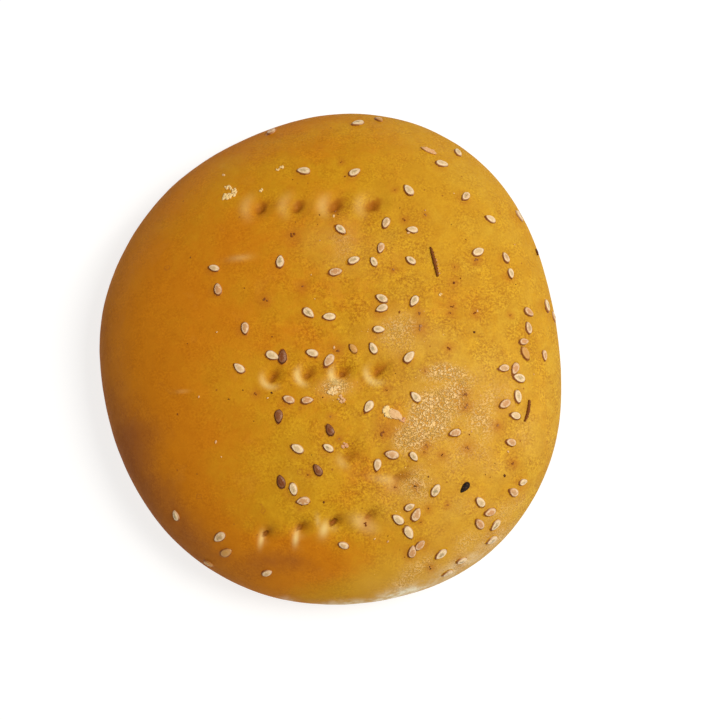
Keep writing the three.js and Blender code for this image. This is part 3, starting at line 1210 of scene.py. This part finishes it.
def mottle(graph, tint):
    """Soft blotches and a fine grain, strongest where the glaze is grainy."""
    grainy = graph.mask("grain")
    blotch = graph.fit(graph.grain(3.6, 3, 0.6, 0.6), 0.33, 0.67)
    shade = graph.blend(blotch, (0.92, 0.84, 0.7), (1.07, 1.09, 1.1))
    tint = graph.blend(grainy, tint, shade, "MULTIPLY")
    grain = graph.fit(graph.grain(0.48, 4, 0.7), 0.34, 0.66)
    shade = graph.blend(grain, (0.68, 0.54, 0.48), (1.22, 1.32, 1.32))
    patchy = graph.fit(graph.grain(4.5, 2, 0.5), 0.4, 0.6, 0.3, 1)
    return graph.blend(graph.times(patchy, grainy), tint, shade, "MULTIPLY")


def dusty_and_sheen_tint(graph, tint, grit):
    """A pale veil, partly a painted sheen, with paler grains and darker gaps where the glaze is
    dusty.
    """
    dust_and_sheen = graph.times(graph.mask("dust_and_sheen"), 1, clamp=True)
    patchy = graph.fit(graph.grain(2.6, 2, 0.5), 0.38, 0.6, 0.45, 1)
    thick = graph.times(graph.fit(dust_and_sheen, 0.2, 0.75), patchy)
    gaps = graph.times(thick, graph.fit(grit, 0, 0.25, 0.75, 0))
    grains = graph.times(thick, graph.fit(grit, 0.25, 0.6, 0, 0.85))
    return graph.paint(
        tint,
        # The pale veil: dust and painted sheen.
        (graph.times(dust_and_sheen, 0.75), (0.75, 0.435, 0.105)),
        (gaps, (0.58, 0.25, 0.03)),
        (grains, (0.98, 0.64, 0.28)),
    )


def prick_oval(graph, centre, half_length, half_width, soft):
    """An oval in the frame of the nearest prick: 1 inside, 0 outside, with a ragged soft edge."""
    ragged = graph.vary(graph.grain(1.1, 2, 0.5), -0.2, 0.2)
    along = graph.plus(graph.mask("prick_along"), -centre, ragged)
    along = graph.math("DIVIDE", along, half_length)
    across = graph.math("DIVIDE", graph.plus(graph.mask("prick_across"), ragged), half_width)
    squares = graph.plus(graph.times(along, along), graph.times(across, across))
    return graph.fit(graph.math("SQRT", squares), 1 - soft, 1 + soft, 1, 0)


def prick_tip(graph):
    """The sharp tip of each prick, at its lower left: where its bump dips and its shade is painted
    dark.
    """
    return graph.times(prick_oval(graph, -0.45, 0.75, 0.5, 0.6), graph.mask("prick_tip"))


def marked_tint(graph, tint):
    """Brown pricks with a pale side, and brown stains, dots and small rings in the glaze."""
    hollow = graph.times(prick_oval(graph, 0.35, 1.5, 0.95, 0.7), graph.mask("prick_hollow_shade"))
    return graph.paint(
        tint,
        # Painted shade in the prick hollows, partly browner crust.
        (hollow, (0.38, 0.125, 0.007)),
        # Painted highlight beside the pricks.
        (graph.times(graph.mask("painted_highlight"), 0.85), (0.86, 0.65, 0.26)),
        # Painted shade in the prick tips.
        (prick_tip(graph), (0.25, 0.078, 0.008)),
        # Stains, painted shade in creases and painted shadows beside seeds.
        (graph.times(graph.mask("stain_and_shadow"), 0.6), (0.42, 0.125, 0.012)),
        (speckles(graph), (0.28, 0.075, 0.012)),
        (small_rings(graph), (0.36, 0.11, 0.015)),
    )


def side_tint(graph, tint, cloud, fine):
    """The paler band low on the side, the brown edge of the base, and smears of flour."""
    low = graph.plus(graph.mask("low"), graph.vary(cloud, -0.3, 0.3))
    under = graph.plus(graph.mask("under"), graph.vary(fine, -0.2, 0.2))
    uneven = graph.fit(graph.grain(2.2, 4, 0.6), 0.35, 0.65, 0.2, 0.85)
    return graph.paint(
        tint,
        (graph.fit(low, 0.2, 1.1, 0, 0.8), (0.64, 0.38, 0.11)),
        (graph.fit(under, 0.3, 0.9, 0, 0.85), (0.42, 0.17, 0.035)),
        (graph.times(graph.mask("flour"), uneven, clamp=True), (0.9, 0.8, 0.58)),
    )


def chosen_cells(graph, size_mm, share):
    """1 in a share of the cells of a size, and 0 in the others."""
    kind = graph.node("SeparateColor", {0: graph.cells(size_mm, "Color")}).outputs[0]
    return graph.math("LESS_THAN", kind, share)


def speckles(graph):
    """Tiny brown dots here and there in the glaze."""
    dot = graph.fit(graph.cells(4.2), 0.03, 0.075, 0.7, 0)
    return graph.times(dot, chosen_cells(graph, 4.2, 0.4))


def small_rings(graph):
    """Thin rings left by small bubbles in the glaze."""
    off = graph.plus(graph.cells(7.5), graph.vary(graph.grain(0.9), -0.02, 0.02), -0.085)
    ring = graph.fit(graph.math("ABSOLUTE", off), 0, 0.022, 0.5, 0)
    return graph.times(ring, chosen_cells(graph, 7.5, 0.3))


def crust_bump(graph, fine, grit):
    """Orange-peel glaze, sharp prick tips, small pores, and the grit of the dusty patches."""
    grain = graph.mask("grain")
    dust_and_sheen = graph.fit(graph.mask("dust_and_sheen"), 0.15, 0.8)
    reliefs = [
        (graph.times(fine, grain), 0.14, 0.8),
        (graph.times(graph.grain(0.55, 4, 0.7), grain), 0.09, 0.9),
        (graph.math("SUBTRACT", 1, prick_tip(graph)), 0.3, 0.8),
        (graph.fit(graph.cells(1.4), 0, 0.2), 0.02, 0.5),
        (graph.times(grit, graph.plus(dust_and_sheen, 0.03)), 0.22, 1),
    ]
    normal = None
    for height, depth_mm, strength in reliefs:
        normal = graph.bump(height, depth_mm, strength, normal)
    return normal


def sesame_material():
    """Cream seeds with a paler rim, a greyish middle and painted shade on the lower-left wall,
    some toasted tan or brown.
    """
    graph = Graph("sesame_cream")
    toast = graph.mask("toast")
    tone = graph.mask("tone")
    edge = graph.mask("edge")
    fine = graph.grain(0.5, 3, 0.6)
    way = graph.plus(edge, graph.vary(fine, -0.26, 0.26))
    middle = graph.times(graph.fit(way, 0.15, 0.55, 1, 0), tone, graph.fit(toast, 0.1, 0.6, 1, 0))
    drift = graph.vary(graph.grain(1.2, 2, 0.5), -0.09, 0.09)
    ridge = graph.math("ABSOLUTE", graph.plus(graph.mask("beside"), drift))
    ridge = graph.times(graph.fit(ridge, 0, 0.07, 0.55, 0), tone)
    rim = graph.times(graph.fit(way, 0.5, 0.75, 0, 0.5), graph.fit(toast, 0.4, 0.9, 1, 0.1))
    glazed = graph.times(graph.mask("glazed"), graph.fit(fine, 0.25, 0.6, 0.75, 1))
    # Painted shade on the seed's outer wall, strongest on its lower-left side, over the wall's own
    # reddish brown.
    wall_shade = graph.fit(graph.mask("run"), -0.7, 0.5, 0.35, 0.95)
    wall_shade = graph.times(graph.fit(edge, 0.78, 0.93), wall_shade)
    wall = graph.blend(graph.fit(toast, 0.5, 0.9), (0.3, 0.1, 0.018), (0.06, 0.015, 0.006))
    body = graph.paint(
        (0.72, 0.52, 0.29),
        (graph.fit(toast, 0, 0.5), (0.58, 0.29, 0.12)),
        (graph.fit(toast, 0.5, 1), (0.16, 0.034, 0.005)),
        (middle, (0.34, 0.27, 0.14)),
        (ridge, (0.26, 0.16, 0.07)),
        (rim, (0.88, 0.73, 0.5)),
        (glazed, (0.56, 0.26, 0.045)),
        (wall_shade, wall),
    )
    rough = graph.plus(graph.vary(fine, 0.34, 0.5), graph.fit(toast, 0.6, 1, 0, -0.14))
    return graph.finish(body, rough, graph.bump(fine, 0.09, 0.9), 1.33, (1, 0.88, 0.72))


def glaze_and_shade_material():
    """Reddish-brown pooled glaze with painted contact shade, thinning out to the crust's own
    yellow.
    """
    graph = Graph("glaze_and_shade_brown")
    fine = graph.grain(0.6, 3, 0.6)
    way = graph.plus(graph.mask("edge"), graph.vary(fine, -0.18, 0.18))
    crust = baked_colour(graph, graph.plus(graph.mask("browning"), 0.15))
    tint = graph.blend(graph.fit(way, 0.3, 0.7), (0.2, 0.052, 0.01), crust)
    rough = graph.vary(fine, 0.38, 0.5)
    return graph.finish(tint, rough, graph.bump(fine, 0.03, 0.5), 1.2, (1, 0.86, 0.6))


def spice_material():
    """Dark dry spice, from black to reddish brown, with fine ridges and paler mottles that are
    partly a painted sheen.
    """
    graph = Graph("spice_dark")
    fine = graph.grain(0.35, 3, 0.6)
    kind = graph.mask("tint")
    tint = graph.paint(
        (0.01, 0.008, 0.008),
        (graph.fit(kind, 0, 1), (0.25, 0.068, 0.008)),
        (graph.fit(kind, 1, 2), (0.46, 0.24, 0.1)),
        # Paler mottles, partly a painted sheen on the black seed.
        (graph.fit(fine, 0.45, 0.75, 0, 0.3), (0.3, 0.13, 0.05)),
    )
    rough = graph.vary(fine, 0.5, 0.75)
    return graph.finish(tint, rough, graph.bump(fine, 0.08, 0.8), 1.22, (1, 0.85, 0.7))


def crumb_material():
    """Pale dry crumbs and husks, cream to pinkish tan."""
    graph = Graph("crumb_pale")
    fine = graph.grain(0.4, 3, 0.6)
    pink = graph.mask("pink")
    white = graph.times(graph.fit(fine, 0.45, 0.8), graph.fit(pink, 0.6, 1.1, 0.45, 0.1))
    tint = graph.paint(
        (0.84, 0.6, 0.25),
        (graph.fit(pink, 0, 1), (0.64, 0.31, 0.14)),
        (white, (0.9, 0.72, 0.42)),
        (graph.fit(pink, 1, 1.3), (0.8, 0.48, 0.14)),
    )
    return graph.finish(tint, graph.vary(fine, 0.6, 0.85), graph.bump(fine, 0.08, 0.8))


# Putting the roll together


def make_roll():
    """The crust and everything on it, with the body and the finish of each piece."""
    crust = make_crust(crust_material())
    surface = Surface(crust)
    pieces = {
        "crust": crust,
        "glaze": make_glaze_and_shade_rings(surface, glaze_and_shade_material()),
        "sesame": make_sesame(surface, sesame_material()),
        "spice": make_dark_bits(surface, spice_material()),
        "crumb": make_crumbs(surface, crumb_material()),
    }
    for slot, piece in pieces.items():
        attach(piece, "root")
    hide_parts("bread_roll")


make_camera()
make_lights()
make_floor()
make_roll()
bpy.context.scene.view_settings.view_transform = "Standard"
